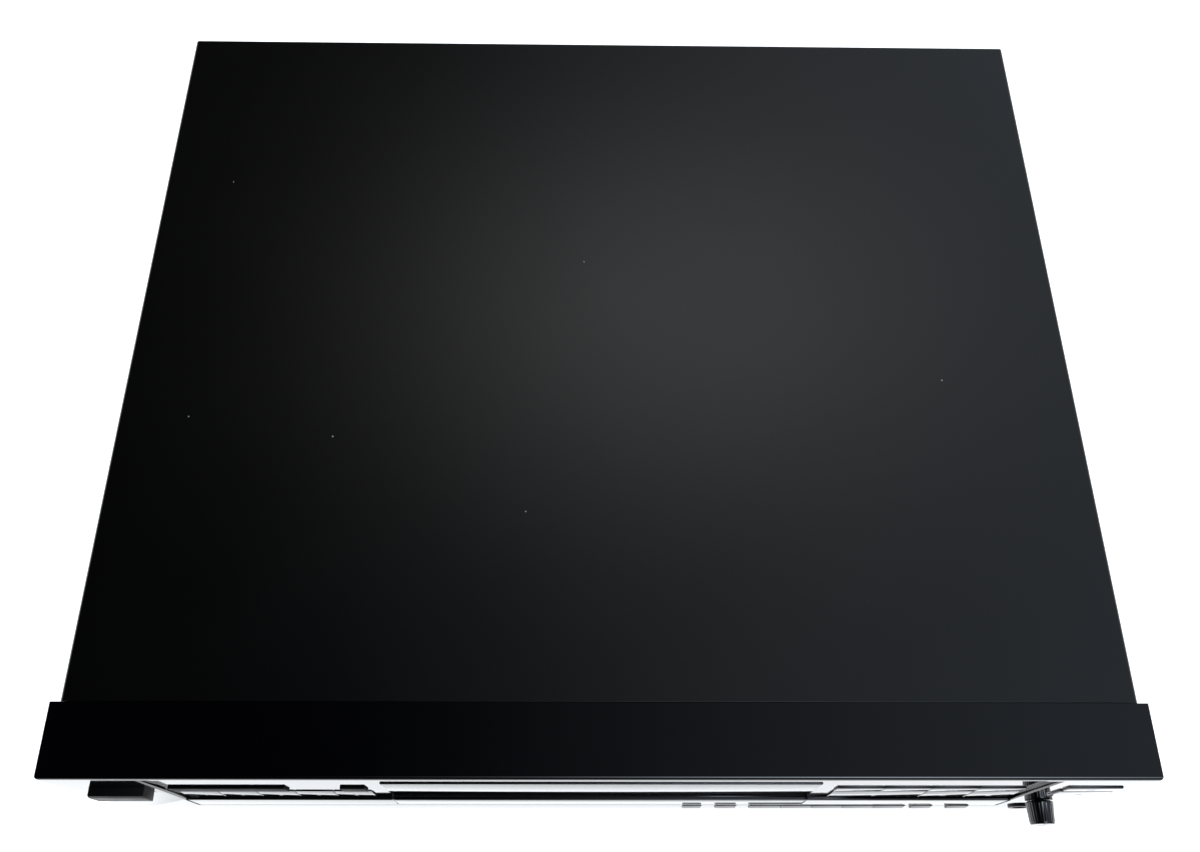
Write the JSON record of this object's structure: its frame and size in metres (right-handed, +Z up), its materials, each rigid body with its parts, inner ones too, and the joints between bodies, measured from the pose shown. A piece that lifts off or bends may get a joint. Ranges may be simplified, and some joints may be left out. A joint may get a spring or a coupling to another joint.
{
  "type": "cd changer",
  "caption": "Full-width disc player with a front drawer that carries a turning tray of disc wells, a window, rows of keys and a phones level knob.",
  "frame": {"origin": "centre of the body's footprint, on the surface that the feet stand on", "axes": "+X to the right as seen from the front, +Y from the front panel to the back, +Z up"},
  "size_m": [0.43, 0.3906, 0.113],
  "materials": {
    "panel_plastic": "moulded ABS, black, smooth gloss",
    "smoked_acrylic": "smoked acrylic, polished",
    "cover_paint": "painted steel sheet, satin black",
    "zinc_steel": "zinc-coated steel sheet",
    "rear_paint": "painted steel sheet, matt black",
    "foot_plastic": "moulded ABS, fine grain",
    "black_screws": "black oxide steel",
    "core_steel": "varnished laminations",
    "circuit_board": "phenolic board, satin",
    "socket_plastic": "moulded nylon",
    "socket_metal": "plated brass",
    "deck_plastic": "moulded ABS, fine grain",
    "motor_steel": "plated steel can",
    "belt_rubber": "moulded rubber",
    "tray_plastic": "moulded ABS, fine grain",
    "gear_plastic": "acetal, natural",
    "shaft_steel": "ground steel",
    "key_plastic": "moulded ABS, semi-gloss"
  },
  "bodies": {
    "cabinet": {"front_panel": "panel_plastic", "display_window": "smoked_acrylic", "trim_plates": "smoked_acrylic", "control_boards": "circuit_board", "phones_board": "socket_plastic", "bottom_chassis": "zinc_steel", "top_cover": "cover_paint", "rear_panel": "rear_paint", "feet": "foot_plastic", "cover_screws": "black_screws", "transformer": "core_steel", "main_board": "circuit_board", "output_sockets": "socket_metal", "mains_inlet": "socket_plastic", "mech_deck": "deck_plastic", "loading_motor": "motor_steel", "loading_belt": "belt_rubber", "clamp_bridge": "zinc_steel"},
    "drawer": {"drawer": "tray_plastic", "drawer_front": "panel_plastic", "drawer_insert": "smoked_acrylic", "carousel_motor": "motor_steel", "carousel_belt": "belt_rubber"},
    "carousel": {"carousel": "tray_plastic"},
    "optical_unit": {"optical_base": "deck_plastic", "guide_shaft": "shaft_steel"},
    "disc_table": {"disc_table": "deck_plastic"},
    "pickup": {"pickup": "deck_plastic"},
    "clamper": {"clamper": "gear_plastic"},
    "level_knob": {"level_knob": "key_plastic"},
    "carousel_pulley": {"carousel_pulley": "gear_plastic"},
    "loading_gear": {"loading_gear": "gear_plastic"},
    "loading_pulley": {"loading_pulley": "gear_plastic"},
    "lift_slider": {"lift_slider": "gear_plastic"},
    "lift_gear": {"lift_gear": "gear_plastic"},
    "feed_gear": {"feed_gear": "gear_plastic"},
    "power_button": {"power_button": "key_plastic"},
    "open_close_key": {"open_close_key": "key_plastic"},
    "disc_skip_key": {"disc_skip_key": "key_plastic"},
    "disc_key_1": {"disc_key_1": "key_plastic"},
    "disc_key_2": {"disc_key_2": "key_plastic"},
    "disc_key_3": {"disc_key_3": "key_plastic"},
    "disc_key_4": {"disc_key_4": "key_plastic"},
    "disc_key_5": {"disc_key_5": "key_plastic"},
    "search_back_key": {"search_back_key": "key_plastic"},
    "search_forward_key": {"search_forward_key": "key_plastic"},
    "skip_back_key": {"skip_back_key": "key_plastic"},
    "skip_forward_key": {"skip_forward_key": "key_plastic"},
    "play_key": {"play_key": "key_plastic"},
    "pause_key": {"pause_key": "key_plastic"},
    "stop_key": {"stop_key": "key_plastic"},
    "time_key": {"time_key": "key_plastic"},
    "fade_key": {"fade_key": "key_plastic"},
    "program_key": {"program_key": "key_plastic"},
    "check_key": {"check_key": "key_plastic"},
    "clear_key": {"clear_key": "key_plastic"},
    "shuffle_key": {"shuffle_key": "key_plastic"},
    "repeat_key": {"repeat_key": "key_plastic"},
    "edit_key": {"edit_key": "key_plastic"},
    "peak_key": {"peak_key": "key_plastic"}
  },
  "joints": [
    {"name": "drawer_slide", "type": "slide", "parent": "cabinet", "child": "drawer", "axis": [0, -1, 0], "range_m": [0, 0.24]},
    {"name": "carousel_spin", "type": "hinge", "parent": "drawer", "child": "carousel", "pos_m": [0, -0.014, 0.04], "axis": [0, 0, 1], "continuous": true},
    {"name": "lift_slide", "type": "slide", "parent": "cabinet", "child": "optical_unit", "axis": [0, 0, 1], "range_m": [0, 0.02]},
    {"name": "disc_table_spin", "type": "hinge", "parent": "optical_unit", "child": "disc_table", "pos_m": [0, 0.09, 0.025], "axis": [0, 0, 1], "continuous": true},
    {"name": "pickup_slide", "type": "slide", "parent": "optical_unit", "child": "pickup", "axis": [0, 1, 0], "range_m": [0, 0.035]},
    {"name": "level_turn", "type": "hinge", "parent": "cabinet", "child": "level_knob", "pos_m": [0.192, -0.1855, 0.046], "axis": [0, 1, 0], "range_deg": [-150, 150]},
    {"name": "power_button_press", "type": "slide", "parent": "cabinet", "child": "power_button", "axis": [0, 1, 0], "range_m": [0, 0.003], "stiffness_N_per_m": 350},
    {"name": "open_close_key_press", "type": "slide", "parent": "cabinet", "child": "open_close_key", "axis": [0, 1, 0], "range_m": [0, 0.001], "stiffness_N_per_m": 300},
    {"name": "disc_skip_key_press", "type": "slide", "parent": "cabinet", "child": "disc_skip_key", "axis": [0, 1, 0], "range_m": [0, 0.001], "stiffness_N_per_m": 300},
    {"name": "disc_key_1_press", "type": "slide", "parent": "cabinet", "child": "disc_key_1", "axis": [0, 1, 0], "range_m": [0, 0.001], "stiffness_N_per_m": 300},
    {"name": "disc_key_2_press", "type": "slide", "parent": "cabinet", "child": "disc_key_2", "axis": [0, 1, 0], "range_m": [0, 0.001], "stiffness_N_per_m": 300},
    {"name": "disc_key_3_press", "type": "slide", "parent": "cabinet", "child": "disc_key_3", "axis": [0, 1, 0], "range_m": [0, 0.001], "stiffness_N_per_m": 300},
    {"name": "disc_key_4_press", "type": "slide", "parent": "cabinet", "child": "disc_key_4", "axis": [0, 1, 0], "range_m": [0, 0.001], "stiffness_N_per_m": 300},
    {"name": "disc_key_5_press", "type": "slide", "parent": "cabinet", "child": "disc_key_5", "axis": [0, 1, 0], "range_m": [0, 0.001], "stiffness_N_per_m": 300},
    {"name": "search_back_key_press", "type": "slide", "parent": "cabinet", "child": "search_back_key", "axis": [0, 1, 0], "range_m": [0, 0.001], "stiffness_N_per_m": 300},
    {"name": "search_forward_key_press", "type": "slide", "parent": "cabinet", "child": "search_forward_key", "axis": [0, 1, 0], "range_m": [0, 0.001], "stiffness_N_per_m": 300},
    {"name": "skip_back_key_press", "type": "slide", "parent": "cabinet", "child": "skip_back_key", "axis": [0, 1, 0], "range_m": [0, 0.001], "stiffness_N_per_m": 300},
    {"name": "skip_forward_key_press", "type": "slide", "parent": "cabinet", "child": "skip_forward_key", "axis": [0, 1, 0], "range_m": [0, 0.001], "stiffness_N_per_m": 300},
    {"name": "play_key_press", "type": "slide", "parent": "cabinet", "child": "play_key", "axis": [0, 1, 0], "range_m": [0, 0.001], "stiffness_N_per_m": 300},
    {"name": "pause_key_press", "type": "slide", "parent": "cabinet", "child": "pause_key", "axis": [0, 1, 0], "range_m": [0, 0.001], "stiffness_N_per_m": 300},
    {"name": "stop_key_press", "type": "slide", "parent": "cabinet", "child": "stop_key", "axis": [0, 1, 0], "range_m": [0, 0.001], "stiffness_N_per_m": 300},
    {"name": "time_key_press", "type": "slide", "parent": "cabinet", "child": "time_key", "axis": [0, 1, 0], "range_m": [0, 0.001], "stiffness_N_per_m": 300},
    {"name": "fade_key_press", "type": "slide", "parent": "cabinet", "child": "fade_key", "axis": [0, 1, 0], "range_m": [0, 0.001], "stiffness_N_per_m": 300},
    {"name": "program_key_press", "type": "slide", "parent": "cabinet", "child": "program_key", "axis": [0, 1, 0], "range_m": [0, 0.001], "stiffness_N_per_m": 300},
    {"name": "check_key_press", "type": "slide", "parent": "cabinet", "child": "check_key", "axis": [0, 1, 0], "range_m": [0, 0.001], "stiffness_N_per_m": 300},
    {"name": "clear_key_press", "type": "slide", "parent": "cabinet", "child": "clear_key", "axis": [0, 1, 0], "range_m": [0, 0.001], "stiffness_N_per_m": 300},
    {"name": "shuffle_key_press", "type": "slide", "parent": "cabinet", "child": "shuffle_key", "axis": [0, 1, 0], "range_m": [0, 0.001], "stiffness_N_per_m": 300},
    {"name": "repeat_key_press", "type": "slide", "parent": "cabinet", "child": "repeat_key", "axis": [0, 1, 0], "range_m": [0, 0.001], "stiffness_N_per_m": 300},
    {"name": "edit_key_press", "type": "slide", "parent": "cabinet", "child": "edit_key", "axis": [0, 1, 0], "range_m": [0, 0.001], "stiffness_N_per_m": 300},
    {"name": "peak_key_press", "type": "slide", "parent": "cabinet", "child": "peak_key", "axis": [0, 1, 0], "range_m": [0, 0.001], "stiffness_N_per_m": 300},
    {"name": "clamper_spin", "type": "hinge", "parent": "cabinet", "child": "clamper", "pos_m": [0, 0.09, 0.052], "axis": [0, 0, 1], "continuous": true},
    {"name": "loading_gear_spin", "type": "hinge", "parent": "cabinet", "child": "loading_gear", "pos_m": [0.13, -0.145, 0.025], "axis": [0, 0, 1], "continuous": true},
    {"name": "loading_pulley_spin", "type": "hinge", "parent": "cabinet", "child": "loading_pulley", "pos_m": [0.078, -0.145, 0.025], "axis": [0, 0, 1], "continuous": true},
    {"name": "carousel_pulley_spin", "type": "hinge", "parent": "drawer", "child": "carousel_pulley", "pos_m": [-0.149, -0.162, 0.036], "axis": [0, 0, 1], "continuous": true},
    {"name": "lift_slider_slide", "type": "slide", "parent": "cabinet", "child": "lift_slider", "axis": [1, 0, 0], "range_m": [0, 0.02]},
    {"name": "lift_gear_spin", "type": "hinge", "parent": "cabinet", "child": "lift_gear", "pos_m": [0, 0.0325, 0.013], "axis": [0, 0, 1], "range_deg": [-100, 0]},
    {"name": "feed_gear_spin", "type": "hinge", "parent": "optical_unit", "child": "feed_gear", "pos_m": [-0.0274, 0.121, 0.015], "axis": [0, 0, 1], "range_deg": [0, 290]}
  ],
  "couplings": [
    {"joint": "loading_gear_spin", "follows": "drawer_slide", "rad_per_m": -55.556},
    {"joint": "loading_pulley_spin", "follows": "drawer_slide", "rad_per_m": -208.33},
    {"joint": "carousel_pulley_spin", "follows": "carousel_spin", "ratio": 10},
    {"joint": "lift_slider_slide", "follows": "lift_slide", "ratio": 1},
    {"joint": "lift_gear_spin", "follows": "lift_slide", "rad_per_m": -83.333},
    {"joint": "feed_gear_spin", "follows": "pickup_slide", "rad_per_m": 142.86}
  ]
}
